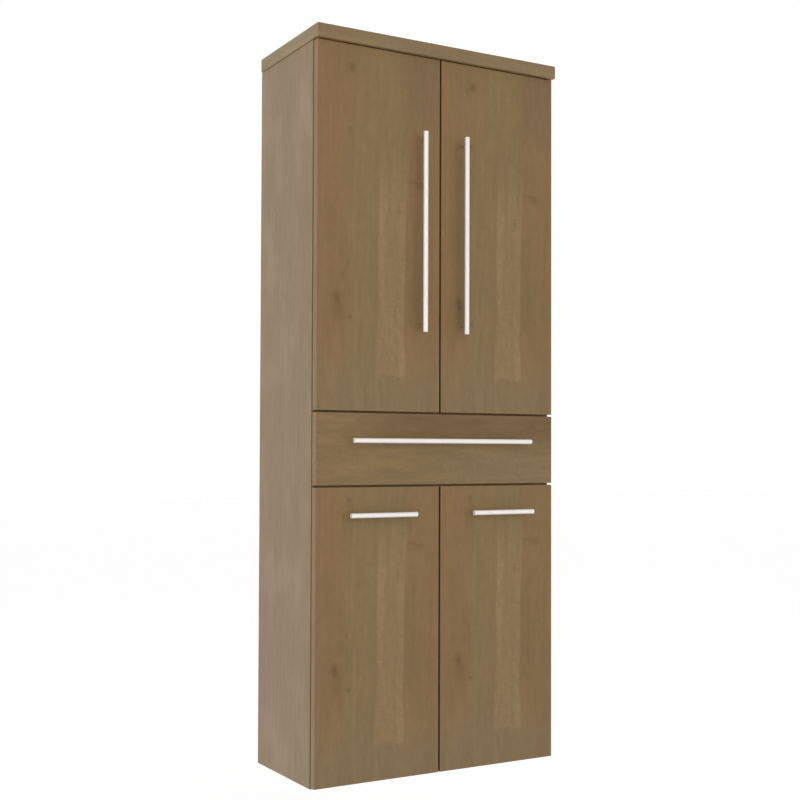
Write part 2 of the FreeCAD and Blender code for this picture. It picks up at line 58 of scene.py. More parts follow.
FRONT_BROWN = (133, 108, 78)
FRONT_RUST = (132, 108, 77)
FRONT_OLIVE = (131, 111, 80)
FRONT_LIGHT = (147, 123, 92)
FRONT_GREY = (131, 112, 84)
FRONT_SHADOW = (119, 101, 71)
FRONT_ASH = (121, 100, 76)
DRAWER_DARK = (120, 98, 71)
KNOT = (94, 70, 41)
COVER_TONES = ((129, 110, 82), (131, 111, 84), (132, 114, 88))
# Painted sheen: the side panels' tones are their own laminate, made lighter and greyer than the fronts by
# a painted sheen.
SIDE_TONES_WITH_PAINTED_SHEEN = ((141, 118, 90), (134, 114, 86), (145, 123, 98))
INNER_TONES = ((137, 114, 84), (132, 109, 79), (141, 119, 90))
FIBRE_TONES = ((112, 84, 56), (142, 112, 78))
FIBRE_DARK = (98, 74, 50)
PRINT_TONES = ((128, 105, 76), (143, 121, 92))
FOIL_TONES = ((205, 203, 197), (212, 210, 205))
CAGE_GREY = (94, 96, 99)
HANGER_WHITE = (218, 217, 212)
BUMPER_CLEAR = (206, 205, 199)

# ------------------------------------------------------------------ metals, scene-linear

BAR_SATIN = (0.86, 0.82, 0.79)
POST_SATIN = (0.82, 0.81, 0.79)
SCREW_ZINC = (0.64, 0.64, 0.62)
HINGE_NICKEL = (0.70, 0.69, 0.67)
RUNNER_ZINC = (0.64, 0.655, 0.665)
BALL_CHROME = (0.80, 0.80, 0.80)
PEG_NICKEL = (0.71, 0.70, 0.68)


def linear(rgb, gain=1.0, veil=0.0):
    """Scene-linear colour of an sRGB byte triple, less what the gloss adds to it."""
    colour = []
    for byte in rgb:
        value = byte / 255
        value = value / 12.92 if value <= 0.04045 else ((value + 0.055) / 1.055) ** 2.4
        colour.append(max(0.0, (value - veil) * gain))
    return (*colour, 1.0)


# ------------------------------------------------------------------ node helpers

MIDDLE = (0.3, 0.7)         # most of a noise lies between these


class Tree:
    """A node tree, with short calls for the nodes that worlds and materials share."""

    def __init__(self, tree):
        self.tree = tree
        self.tree.nodes.clear()

    def new(self, kind, **values):
        """A new node. Each value sets or links the socket of that name, _ standing for a space."""
        node = self.tree.nodes.new(kind)
        for name, value in values.items():
            self.put(node.inputs[name.replace("_", " ")], value)
        return node

    def link(self, source, target):
        self.tree.links.new(source, target)

    def put(self, socket, value):
        """Links a socket to another one or sets its value. None leaves it alone."""
        if isinstance(value, bpy.types.NodeSocket):
            self.link(value, socket)
        elif value is not None:
            socket.default_value = value

    def math(self, operation, first, second=None, third=None):
        node = self.new("ShaderNodeMath")
        node.operation = operation
        for socket, value in zip(node.inputs, (first, second, third)):
            self.put(socket, value)
        return node.outputs[0]


class Look(Tree):
    """A material of one Principled shader, and the nodes that drive it."""

    def __init__(self, name):
        self.material = bpy.data.materials.new(name)
        self.material.use_nodes = True
        super().__init__(self.material.node_tree)
        self.output = self.new("ShaderNodeOutputMaterial")
        self.shader = self.new("ShaderNodeBsdfPrincipled")
        self.link(self.shader.outputs[0], self.output.inputs["Surface"])
        place = self.new("ShaderNodeTexCoord")
        self.position, self.normal = place.outputs["Object"], place.outputs["Normal"]

    def set(self, **values):
        """Sets or links the shader's sockets."""
        for name, value in values.items():
            self.put(self.shader.inputs[name.replace("_", " ")], value)

    def bump(self, height, strength, distance):
        node = self.new("ShaderNodeBump", Strength=strength, Distance=distance, Height=height)
        self.link(node.outputs[0], self.shader.inputs["Normal"])

    def times(self, first, second):
        return self.math("MULTIPLY", first, second)

    def plus(self, base, value, amount):
        """The base, plus the value times the amount."""
        return self.math("MULTIPLY_ADD", value, amount, base)

    def sway(self, base, noise, amount):
        """The base moved by noise, by up to half the amount either way."""
        return self.plus(base, self.math("SUBTRACT", noise, 0.5), amount)

    def step(self, value, low, high, out_low=0.0, out_high=1.0, smooth=True):
        """Goes from out_low to out_high while the value goes from low to high, which may be lower."""
        limits = {"From_Min": low, "From_Max": high, "To_Min": out_low, "To_Max": out_high}
        node = self.new("ShaderNodeMapRange", Value=value, **limits)
        node.interpolation_type = "SMOOTHSTEP" if smooth else "LINEAR"
        return node.outputs["Result"]

    def vector(self, operation, first, second=None):
        node = self.new("ShaderNodeVectorMath")
        node.operation = operation
        self.put(node.inputs[0], first)
        self.put(node.inputs[1], second)
        return node.outputs["Value" if operation == "LENGTH" else "Vector"]

    def split(self, vector):
        return list(self.new("ShaderNodeSeparateXYZ", Vector=vector).outputs)

    def join(self, x, y, z):
        return self.new("ShaderNodeCombineXYZ", X=x, Y=y, Z=z).outputs[0]

    def noise(self, vector, scale=1.0, detail=2.0, roughness=0.5, distortion=0.0):
        form = {"Scale": scale, "Detail": detail, "Roughness": roughness, "Distortion": distortion}
        return self.new("ShaderNodeTexNoise", Vector=vector, **form).outputs[0]

    def stretched(self, scales, **form):
        """Noise with its own scale along X, Y and Z."""
        return self.noise(self.vector("MULTIPLY", self.position, scales), **form)

    def patches(self, place, sizes, **form):
        """Noise whose patches are about as large as the sizes."""
        scales = tuple(1 / size for size in sizes)
        return self.noise(self.vector("MULTIPLY", place, scales), **form)

    def ramp(self, value, stops):
        node = self.new("ShaderNodeValToRGB", Fac=value)
        node.color_ramp.interpolation = "EASE"
        elements = node.color_ramp.elements
        while len(elements) > 1:
            elements.remove(elements[-1])
        for index, (position, colour) in enumerate(stops):
            element = elements[0] if index == 0 else elements.new(position)
            element.position, element.color = position, colour
        return node.outputs[0]

    def mix(self, factor, first, second, blend="MIX"):
        """Mixes two colours."""
        node = self.new("ShaderNodeMix")
        node.data_type, node.blend_type = "RGBA", blend
        for index, value in ((0, factor), (6, first), (7, second)):
            self.put(node.inputs[index], value)
        return node.outputs[2]

    def choose(self, factor, first, second):
        """The first number where the factor is 0, the second where it is 1."""
        node = self.new("ShaderNodeMix")
        for index, value in ((0, factor), (2, first), (3, second)):
            self.put(node.inputs[index], value)
        return node.outputs[0]


def paint(material, *names):
    for name in names:
        for held in nodes[name].material_slots:
            held.material = material


# ------------------------------------------------------------------ laminate: sizes and depths

MILLIMETRES = 1000.0        # in a metre
FACING = 0.7                # a face looks along an axis where its normal passes this

LAMINATE_GLOSS = 0.42
LAMINATE_POLISH = (0.45, 1.1, 0.51, 0.40)  # fine noise from and to, roughness from and to
LAMINATE_BUMP = {"strength": 0.22, "distance": 0.0002}
GLOSS_VEIL = 0.03           # what the gloss adds to the colour
KNOT_VEIL = 0.6 * GLOSS_VEIL

# Layers of noise. sizes are millimetres across, into and along the grain.
GRAIN_LAYERS = {            # these part round the knots
    "streak": {"sizes": (11, 11, 130), "detail": 4.0, "roughness": 0.6},
    "stroke": {"sizes": (8, 8, 38), "detail": 3.0, "roughness": 0.55},
    "strip": {"sizes": (26, 26, 230)},
    "pores": {"sizes": (0.9, 0.9, 15), "roughness": 0.6},
    "mottle": {"sizes": (13, 13, 22), "detail": 4.0, "roughness": 0.65, "distortion": 0.6},
}
STILL_LAYERS = {
    "cloud": {"sizes": (110, 110, 170), "detail": 3.0},
    "flecks": {"sizes": (24, 24, 4.2), "roughness": 0.6},
}
DRIFT = {"sizes": (90, 90, 420), "detail": 3.0}
RAGGED = {"sizes": (9, 9, 22), "detail": 3.0, "roughness": 0.6}
WORN = {"sizes": (12, 1, 24), "detail": 3.0, "roughness": 0.6}

# How much each layer changes the brightness, and between which values of noise some come in.
CLOUD_DEPTH = 0.16
STROKE_DEPTH = 0.22
STREAK_DEPTH = 0.26
STRIP_DEPTH = 0.26
PORE_DEPTH = 0.10
PORE_SHOWS = (0.54, 0.68)
PORE_POLISH = 0.5           # share of the pores in the noise that sets the roughness
PORE_PITS = (0.58, 0.74)
PORE_PIT_DEPTH = 0.6        # in the bump
FLECK_DEPTH = 0.17
FLECK_SHOWS = (0.58, 0.70)
FLECK_LEAST = 0.3           # share of the flecks' depth outside the flecked bands
DRIFT_SWING = (0.25, 0.75, -6.0, 6.0)  # noise from and to, wander of the grain from and to
# painted highlight: the laminate's outermost edges made lighter, as rounded edges catch the light
EDGE_HIGHLIGHT_FADE = (2.2, 1.0)       # from the nearest edge
# painted shade: a darker strip along the side panels' front edges, where the gap to the doors lies in
# shade
PAINTED_GAP_SHADE_FADE = (4.8, 3.2)  # in u

# Knots: u, w, half width, half length, depth, how far the grain parts round it.
DOOR_KNOTS = (
    (48, 245, 12, 24, 0.62, 0.5),
    (50, 216, 24, 52, 0.30, 0.0),
    (60, 292, 10, 20, 0.20, 0.0),
    (78, 202, 7, 9, 0.50, 0.3),
    (72, 320, 4, 8, 0.40, 0.0),
    (247, 508, 15, 15, 0.34, 0.4),
    (226, 513, 16, 6, 0.26, 0.0),
    (195, 443, 5, 17, 0.30, 0.0),
    (75, 612, 5, 8, 0.42, 0.3),
    (80, 750, 10, 17, 0.55, 0.4),
    (279, 330, 5, 170, 0.16, 0.0),
    (30, 400, 4, 60, 0.14, 0.0),
)
DRAWER_KNOTS = (
    (140, 395, 13, 24, 0.36, 0.3),
    (140, 380, 16, 60, 0.16, 0.0),
    (129, 545, 10, 20, 0.34, 0.3),
    (124, 550, 12, 50, 0.18, 0.0),
    (112, 300, 5, 150, 0.10, 0.0),
)
SIDE_KNOTS = (
    (206, 1263, 6, 11, 0.24, 0.0),
    (176, 1058, 6, 11, 0.24, 0.0),
    (176, 328, 6, 11, 0.24, 0.0),
    (132, 940, 5, 180, 0.16, 0.0),
    (126, 470, 5, 120, 0.16, 0.0),
)
KNOT_RAGGED = 1.3           # in half sizes of a knot, like the two fades
KNOT_FADE = (1.15, 0.0)
PARTING_FADE = (3.2, 0.6)

# Colours across a door, by their share of FIGURE_WIDE.
FIGURE_WIDE = 300.0
DOOR_STOPS = (
    (0.0, FRONT_BROWN),
    (0.2, FRONT_BROWN),
    (0.31, FRONT_OLIVE),
    (0.62, FRONT_OLIVE),
    (0.74, FRONT_BROWN),
    (0.88, FRONT_RUST),
    (1.0, FRONT_RUST),
)
SEAM_SWAY = 30.0            # how far the borders between the colours wander across the grain
DOOR_SWAY = 170.0           # and along it
DRAWER_SWAY = 160.0

# Zones of colour: where they fade in across the grain and along it, how strongly, which colour.
DOOR_FOOT_FADE = (165.0, 45.0)
DOOR_FOOT_SHARE = 0.8
DOOR_ZONES = (
    ((0.44, 0.36), (560.0, 660.0), 0.6, FRONT_BROWN),
    ((0.60, 0.78), (610.0, 690.0), 0.5, FRONT_ASH),
)
DRAWER_LEFT_FADE = (60.0, 160.0)
DRAWER_LEFT_SHARE = 0.45
DRAWER_ZONES = (
    ((78.0, 112.0), (70.0, 210.0), 1.0, DRAWER_DARK),
    ((85.0, 45.0), (260.0, 430.0), 1.0, FRONT_GREY),
)
DRAWER_FLECKED = ((90.0, 60.0), (250.0, 330.0))

# Boards in the doors' figure: left, right, low end, high end, fade of the high end.
LIGHT_BOARD = (145.0, 212.0, 76.0, 540.0, 60.0)
LIGHT_BOARD_SHARE = 0.46
LIGHT_PARTS = (
    ((149.0, 209.0, 76.0, 205.0, 60.0), 0.20),
    ((193.0, 211.0, 76.0, 500.0, 40.0), 0.20),
    ((147.0, 163.0, 235.0, 490.0, 40.0), 0.40),
)
# painted shade: SHADOW_BOARD is no board of the figure but a darker strip beside the light one, where a
# handle's shadow falls
SHADOW_BOARD = (212.0, 238.0, 185.0, 450.0, 50.0)
SHADOW_BOARD_SHARE = 0.45
BOARD_SIDE_SWAY = 7.0
BOARD_SIDE_SOFT = 3.5
LOW_END_SWAY = 44.0
LOW_END_BEFORE = 8.0
LOW_END_AFTER = 14.0
HIGH_END_SWAY = 130.0
WEAR = (0.32, 0.68, 0.55, 1.2)  # noise from and to, strength of the light board from and to

# Noise that brings in an even board's second tone, its third one and its flecks.
EVEN_SECOND = (0.35, 0.62)
EVEN_THIRD = (0.42, 0.72)
EVEN_FLECKED = (0.5, 0.7)

# ------------------------------------------------------------------ laminate


def tone(rgb):
    """A laminate colour, as it has to be under the gloss."""
    return linear(rgb, veil=GLOSS_VEIL)


def board_place(look, node, axes):
    """u, v and w on the node's board, the way to its nearest edge, and which faces are its ends.

    On the ends u and w change places, so that the figure doesn't smear over them.
    """
    low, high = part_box(node)
    millimetres = look.vector("SCALE", look.vector("SUBTRACT", look.position, tuple(low)))
    millimetres.node.inputs["Scale"].default_value = MILLIMETRES
    parts = look.split(millimetres)
    u, v, w = (parts[axis] for axis in axes)
    edges = []
    for value, axis in ((u, axes[0]), (w, axes[2])):
        reach = (high - low)[axis] * MILLIMETRES
        edges.append(look.math("MINIMUM", value, look.math("SUBTRACT", reach, value)))
    to_edge = look.math("MINIMUM", *edges)
    along = look.math("ABSOLUTE", look.split(look.normal)[axes[2]])
    end = look.math("GREATER_THAN", along, FACING)
    return look.choose(end, u, w), v, look.choose(end, w, u), to_edge, end


def knot_marks(look, u, w, ragged, knots):
    """How dark the knots make the board, and u with the grain parted round them."""
    dark, parted = None, u
    for knot_u, knot_w, half_u, half_w, depth, parting in knots:
        away = look.vector("SUBTRACT", look.join(u, 0.0, w), (knot_u, 0.0, knot_w))
        away = look.vector("MULTIPLY", away, (1 / half_u, 0.0, 1 / half_w))
        reach = look.vector("LENGTH", away)
        spot = look.step(look.sway(reach, ragged, KNOT_RAGGED), *KNOT_FADE, 0.0, depth)
        dark = spot if dark is None else look.math("MAXIMUM", dark, spot)
        if parting:
            pull = look.step(reach, *PARTING_FADE, 0.0, parting)
            pull = look.times(pull, look.math("SUBTRACT", u, knot_u))
            parted = look.math("SUBTRACT", parted, pull)
    return dark, parted


def shading(look, layers, flecked, to_edge, contrast, mottling, rim):
    """How bright the layers of noise make the colour, with a painted highlight along the board's rim."""
    depths = {"cloud": CLOUD_DEPTH, "stroke": STROKE_DEPTH, "streak": STREAK_DEPTH, "strip": STRIP_DEPTH}
    depths["mottle"] = mottling
    shade = 1.0
    for name, depth in depths.items():
        shade = look.sway(shade, layers[name], depth * contrast)
    shade = look.plus(shade, look.step(layers["pores"], *PORE_SHOWS), -PORE_DEPTH * contrast)
    share = look.plus(FLECK_LEAST, flecked, 1 - FLECK_LEAST)
    fleck = look.times(look.step(layers["flecks"], *FLECK_SHOWS), share)
    shade = look.plus(shade, fleck, FLECK_DEPTH * contrast)
    # painted highlight along the outermost edges
    return look.plus(shade, look.step(to_edge, *EDGE_HIGHLIGHT_FADE), rim)


def laminate(node, axes, bands, knots=(), name=None, seed=0.0, contrast=1.0, mottling=0.20, rim=0.09,
             painted_gap_shade=0.0, painted_end_sheen=0.0, painted_underside_light=0.0):
    """Matt oak-look laminate on a node. axes are its board's axes across, into and along the grain.

    rim paints a highlight on the outermost edges, painted_gap_shade paints shade on the strip along u = 0.
    painted_end_sheen paints a sheen on the ends and painted_underside_light paints light on the faces that
    look down.
    """
    look = Look(name or f"{node}_laminate")
    u, v, w, to_edge, end = board_place(look, node, axes)
    place = look.join(look.math("ADD", u, seed), v, w)
    drift = look.step(look.patches(place, **DRIFT), *DRIFT_SWING, smooth=False)
    drifted = look.math("ADD", u, drift)
    dark, parted = knot_marks(look, drifted, w, look.patches(place, **RAGGED), knots)
    grain = look.join(look.math("ADD", parted, seed), v, w)
    layers = {key: look.patches(grain, **form) for key, form in GRAIN_LAYERS.items()}
    layers.update({key: look.patches(place, **form) for key, form in STILL_LAYERS.items()})

    colour, flecked = bands(look, drifted, w, layers["cloud"], layers["strip"])
    shade = shading(look, layers, flecked, to_edge, contrast, mottling, rim)
    # painted shade along the side panels' front edges, by the gap to the doors
    if painted_gap_shade:
        shade = look.plus(shade, look.step(u, *PAINTED_GAP_SHADE_FADE), -painted_gap_shade)
    # painted sheen on the end faces, lighter as the side panels are
    if painted_end_sheen:
        shade = look.plus(shade, end, painted_end_sheen)
    # painted light on the faces that look down, which lightens the shade under the cover plate
    if painted_underside_light:
        under = look.math("LESS_THAN", look.split(look.normal)[2], -FACING)
        shade = look.plus(shade, under, painted_underside_light)
    colour = look.mix(1.0, colour, look.join(shade, shade, shade), "MULTIPLY")
    if dark is not None:
        colour = look.mix(dark, colour, linear(KNOT, veil=KNOT_VEIL))

    fine = look.plus(layers["streak"], layers["pores"], PORE_POLISH)
    rough = look.step(fine, *LAMINATE_POLISH, smooth=False)
    look.set(Base_Color=colour, Roughness=rough, Specular_IOR_Level=LAMINATE_GLOSS)
    pits = look.step(layers["pores"], *PORE_PITS)
    look.bump(look.plus(layers["streak"], pits, -PORE_PIT_DEPTH), **LAMINATE_BUMP)
    paint(look.material, node)


# Bands work out a board's colour, and where its light flecks show.


def zone(look, across, along, across_fade, along_fade):
    """Where a value across the grain and one along it are both past their fades."""
    return look.times(look.step(across, *across_fade), look.step(along, *along_fade))


def zoned(look, colour, across, along, zones):
    """The colour with the zones' own colours mixed in."""
    for across_fade, along_fade, share, rgb in zones:
        inside = zone(look, across, along, across_fade, along_fade)
        colour = look.mix(look.times(inside, share), colour, tone(rgb))
    return colour


def door_bands(look, u, w, cloud, strip):
    """Long boards side by side: brown, olive, a light one with flecks, brown again; grey at the foot."""
    across = look.math("DIVIDE", look.sway(u, strip, SEAM_SWAY), FIGURE_WIDE)
    along = look.sway(w, cloud, DOOR_SWAY)
    colour = look.ramp(across, [(share, tone(rgb)) for share, rgb in DOOR_STOPS])
    foot = look.times(look.step(along, *DOOR_FOOT_FADE), DOOR_FOOT_SHARE)
    colour = look.mix(foot, colour, tone(FRONT_GREY))
    colour = zoned(look, colour, across, along, DOOR_ZONES)
    worn = look.patches(look.join(u, 0.0, w), **WORN)

    def board(left, right, low, high, fade):
        straight = look.sway(u, strip, BOARD_SIDE_SWAY)
        left_side = look.step(straight, left - BOARD_SIDE_SOFT, left + BOARD_SIDE_SOFT)
        right_side = look.step(straight, right + BOARD_SIDE_SOFT, right - BOARD_SIDE_SOFT)
        low_end = look.step(look.sway(w, worn, LOW_END_SWAY), low - LOW_END_BEFORE, low + LOW_END_AFTER)
        high_end = look.step(look.sway(w, cloud, HIGH_END_SWAY), high + fade, high - fade)
        return look.times(look.times(left_side, right_side), look.times(low_end, high_end))

    # painted shade: a darker strip beside the light board
    shadow = look.times(board(*SHADOW_BOARD), SHADOW_BOARD_SHARE)
    colour = look.mix(shadow, colour, tone(FRONT_SHADOW))
    whole = board(*LIGHT_BOARD)
    lift = look.times(whole, LIGHT_BOARD_SHARE)
    for part, share in LIGHT_PARTS:
        lift = look.plus(lift, board(*part), share)
    lift = look.times(lift, look.step(worn, *WEAR, smooth=False))
    return look.mix(lift, colour, tone(FRONT_LIGHT)), whole


def drawer_bands(look, u, w, cloud, strip):
    """Grain along the front: brown at the left end, olive in the middle, darker above, greyer below."""
    along, across = look.sway(w, cloud, DRAWER_SWAY), look.sway(u, strip, SEAM_SWAY)
    left = look.step(along, *DRAWER_LEFT_FADE, DRAWER_LEFT_SHARE, 1.0)
    colour = look.mix(left, tone(FRONT_BROWN), tone(FRONT_OLIVE))
    colour = zoned(look, colour, across, along, DRAWER_ZONES)
    return colour, zone(look, u, along, *DRAWER_FLECKED)


def even_bands(tones):
    """A plain board: three close tones that change slowly."""

    def bands(look, u, w, cloud, strip):
        first, second, third = (tone(rgb) for rgb in tones)
        colour = look.mix(look.step(strip, *EVEN_SECOND), first, second)
        colour = look.mix(look.step(cloud, *EVEN_THIRD), colour, third)
        return colour, look.step(cloud, *EVEN_FLECKED)

    return bands


UPRIGHT_FRONT = (0, 1, 2)   # axes across, into and along the grain
LYING_FRONT = (2, 1, 0)
UPRIGHT_SIDE = (1, 0, 2)
LYING_BOARD = (1, 2, 0)
INNER_BOARDS = (
    "top_panel", "bottom_panel", "divider_panel_upper", "divider_panel_lower",
    "shelf_upper_high", "shelf_upper_low", "shelf_lower",
)
# The cover plate: painted_end_sheen paints a sheen on its ends, painted_underside_light paints light on
# its underside.
cover_look = {"name": "cover_laminate", "seed": 40.0, "contrast": 0.8, "painted_end_sheen": 0.14, "painted_underside_light": 0.5}
side_look = {"contrast": 1.15, "mottling": 0.14, "rim": 0.03, "painted_gap_shade": 0.17}

for door in DOORS:
    laminate(f"{door}_panel", UPRIGHT_FRONT, door_bands, DOOR_KNOTS)
laminate("drawer_front", LYING_FRONT, drawer_bands, DRAWER_KNOTS, contrast=1.4, mottling=0.10)
laminate("cover_plate", LYING_BOARD, even_bands(COVER_TONES), **cover_look)
# The side panels: a painted sheen in their tones and painted shade along their front edges.
for panel in ("side_panel_left", "side_panel_right"):
    laminate(panel, UPRIGHT_SIDE, even_bands(SIDE_TONES_WITH_PAINTED_SHEEN), SIDE_KNOTS, **side_look)
for index, panel in enumerate(INNER_BOARDS):
    laminate(panel, LYING_BOARD, even_bands(INNER_TONES), seed=300.0 * index, contrast=0.8)

# ------------------------------------------------------------------ other finishes

LINES_PER_METRE = 4000.0
FIBRE_FORM = {"detail": 5.0, "roughness": 0.7, "distortion": 1.2}
FIBRE_SCALES = (350.0, 350.0, 350.0)
FIBRE_SHOWS = (0.35, 0.7)
FIBRE_ROUGH = (0.75, 0.9)
FIBRE_STAINS = (0.35, 0.75, 0.0, 0.16)  # noise from and to, share of the dark tone from and to
PRINT_SCALES = (90.0, 90.0, 4.0)
PRINT_ROUGH = 0.5
PRINT_SMOOTHS = 0.8         # how much of the fibre's bump the print covers
THREAD_SCALES = ((1500.0, 1500.0, 260.0), (1500.0, 260.0, 1500.0))
FOIL_POLISH = (0.4, 0.75, 0.5, 0.62)  # weave from and to, roughness from and to


def uneven(look, noise, rough, down, up):
    """Roughness that follows a noise, from a little below rough to a little above it."""
    return look.step(noise, *MIDDLE, rough - down, rough + up, smooth=False)


def metal(name, colour, rough, stretch=(1, 1, 1), wear=0.05, bump=0.05, metallic=1.0):
    """Plated or brushed metal. Its fine lines run along the axis whose stretch is small."""
    look = Look(name)
    lines = look.stretched([LINES_PER_METRE * part for part in stretch], detail=3.0, roughness=0.6)
    cloud = look.step(look.noise(look.position, scale=60.0, detail=3.0), *MIDDLE)
    low, high = ((*(part * level for part in colour), 1.0) for level in (1 - wear, 1 + wear))
    polish = uneven(look, lines, rough, down=0.05, up=0.06)
    look.set(Base_Color=look.mix(cloud, low, high), Roughness=polish, Metallic=metallic)
    look.bump(lines, strength=bump, distance=0.00005)
    return look.material


def plastic(name, rgb, rough=0.45, bump=0.15):
    look = Look(name)
    fine = look.noise(look.position, scale=900.0, detail=3.0)
    cloud = look.step(look.noise(look.position, scale=25.0), *MIDDLE)
    colour = look.mix(cloud, linear(rgb, gain=0.94), linear(rgb, gain=1.05))
    look.set(Base_Color=colour, Roughness=uneven(look, fine, rough, down=0.05, up=0.07))
    look.bump(fine, strength=bump, distance=0.00008)
    return look.material


def hardboard():
    """Printed on the face that looks into the cabinet, bare pressed fibre behind."""
    look = Look("hardboard_back")
    fibre = look.stretched(FIBRE_SCALES, **FIBRE_FORM)
    cloud = look.noise(look.position, scale=5.0, detail=4.0)
    bare = look.mix(look.step(fibre, *FIBRE_SHOWS), *(linear(rgb) for rgb in FIBRE_TONES))
    bare = look.mix(look.step(cloud, *FIBRE_STAINS), bare, linear(FIBRE_DARK))
    streak = look.stretched(PRINT_SCALES, detail=5.0, roughness=0.6)
    printed = look.mix(look.step(streak, *MIDDLE), *(linear(rgb) for rgb in PRINT_TONES))
    front = look.math("LESS_THAN", look.split(look.normal)[1], -FACING)
    rough = look.choose(front, look.step(fibre, *MIDDLE, *FIBRE_ROUGH), PRINT_ROUGH)
    look.set(Base_Color=look.mix(front, bare, printed), Roughness=rough)
    height = look.times(fibre, look.plus(1.0, front, -PRINT_SMOOTHS))
    look.bump(height, strength=0.3, distance=0.0003)
    return look.material


def foil():
    """Off-white foil with a faint woven emboss."""
    look = Look("drawer_foil")
    weave = look.math("MAXIMUM", *(look.stretched(scales) for scales in THREAD_SCALES))
    cloud = look.step(look.noise(look.position, scale=9.0), *MIDDLE)
    colour = look.mix(cloud, *(linear(rgb) for rgb in FOIL_TONES))
    look.set(Base_Color=colour, Roughness=look.step(weave, *FOIL_POLISH))
    look.bump(weave, strength=0.2, distance=0.0001)
    return look.material


satin = {"rough": 0.36, "wear": 0.02, "metallic": 0.4}
bar_upright = metal("handle_satin_upright", BAR_SATIN, stretch=(1, 1, 0.02), **satin)
bar_level = metal("handle_satin_level", BAR_SATIN, stretch=(0.02, 1, 1), **satin)
post_satin = metal("handle_satin_post", POST_SATIN, rough=0.26, stretch=(1, 0.02, 1))
screw_zinc = metal("screw_zinc", SCREW_ZINC, rough=0.34, wear=0.08)
hinge_nickel = metal("hinge_nickel", HINGE_NICKEL, rough=0.30, stretch=(0.08, 1, 1), metallic=0.85)
runner_zinc = metal("runner_zinc", RUNNER_ZINC, rough=0.36, stretch=(1, 0.03, 1), wear=0.09)
ball_chrome = metal("ball_chrome", BALL_CHROME, rough=0.09, wear=0.02, bump=0.02)
peg_nickel = metal("peg_nickel", PEG_NICKEL, rough=0.27)

for part in ("drawer", *DOORS):
    paint(bar_upright if "upper" in part else bar_level, f"{part}_handle_bar")
    paint(post_satin, f"{part}_handle_posts")
for door in DOORS:
    paint(hinge_nickel, f"{door}_hinge_cups", f"{door}_hinge_links")
for member in ("cabinet", "middle", "drawer"):
    paint(runner_zinc, f"runner_{member}_left", f"runner_{member}_right")
paint(hinge_nickel, "hinge_arms", "hinge_mounting_plates")
paint(screw_zinc, "wall_plates")
paint(peg_nickel, "shelf_supports")
paint(ball_chrome, "runner_balls")
paint(plastic("cage_plastic", CAGE_GREY), "runner_ball_cages")
paint(plastic("hanger_plastic", HANGER_WHITE), "hanging_brackets")
paint(hardboard(), "back_panel")
paint(foil(), "drawer_side_left", "drawer_side_right", "drawer_box_front", "drawer_back", "drawer_bottom")

# ------------------------------------------------------------------ small fittings

TURNS = 28                  # flats round a turned body
DOME_STEPS = 6
DOME_FLAT = 0.35            # of a step, at the crown
DOME_DEEP = 0.8             # of the pad's height
CRISP = radians(35)         # edges that bend more than this stay sharp
SAME_PLACE = 1e-6           # vertices this close are one
CROWN = ((0.74, 0.0), (0.93, 0.16), (1.0, 0.5), (1.0, 1.0))  # shares of a head's radius and height
RECESS_REACH = 0.56         # shares of the head's radius
RECESS_ARM = 0.12
RECESS_DEEP = 0.8           # of the head's height
RECESS_TAPER = 0.6          # width at its foot, as a share
TIP_SHARE = 0.25            # of the shank's radius
SHANK_LEAST = 0.0002
HANDLE_SHANK = 0.0040
SYSTEM_SHANK = 0.0050
COVER_SHANK = 0.0040
HANDLE_HEAD_SHARE = 0.29    # height of a screw's head, as a share of its width
SYSTEM_HEAD_SHARE = 0.2
COVER_HEAD_SHARE = 0.24
ADJUSTER_HEAD = 0.0062
ADJUSTER_PROUD = 0.0009
ADJUSTER_LONG = 0.004
ADJUSTER_SHANK_SHARE = 0.6  # of the head's width
ARM_SCREWS = ((0.34, 0.85 * ADJUSTER_HEAD), (0.74, ADJUSTER_HEAD))  # share of the arm, head
HANGER_HEAD = 0.0080
HANGER_PROUD = 0.0012
HANGER_LONG = 0.005
HANGER_INSET = 0.009        # from the bracket's inner side
HANGER_SCREWS = (0.28, 0.66)  # shares of the bracket's height


def solids(name):
    """Lowest and highest corner of each separate solid in a node."""
    build = bmesh.new()
    build.from_mesh(nodes[name].data)
    bmesh.ops.remove_doubles(build, verts=build.verts, dist=SAME_PLACE)
    boxes, seen = [], set()
    for start in build.verts:
        if start in seen:
            continue
        seen.add(start)
        waiting, places = [start], []
        while waiting:
            vert = waiting.pop()
            places.append(vert.co.copy())
            for edge in vert.link_edges:
                other = edge.other_vert(vert)
                if other not in seen:
                    seen.add(other)
                    waiting.append(other)
        columns = list(zip(*places))
        boxes.append([Vector(pick(column) for column in columns) for pick in (min, max)])
    build.free()
    return boxes


def turned(build, at, facing, profile):
    """A turned body from (radius, depth) pairs, outer face first. Gives its first ring and its frame."""
    place = Matrix.Translation(at) @ Vector(facing).to_track_quat("Z", "Y").to_matrix().to_4x4()
    angles = [2 * pi / TURNS * turn for turn in range(TURNS)]
    rings = []
    for radius, depth in profile:
        circle = [Vector((radius * cos(angle), radius * sin(angle), -depth)) for angle in angles]
        rings.append([build.verts.new(place @ point) for point in circle])
    for outer, inner in zip(rings, rings[1:]):
        for turn in range(TURNS):
            build.faces.new((outer[turn - 1], inner[turn - 1], inner[turn], outer[turn]))
    build.faces.new(rings[-1])
    return rings[0], place


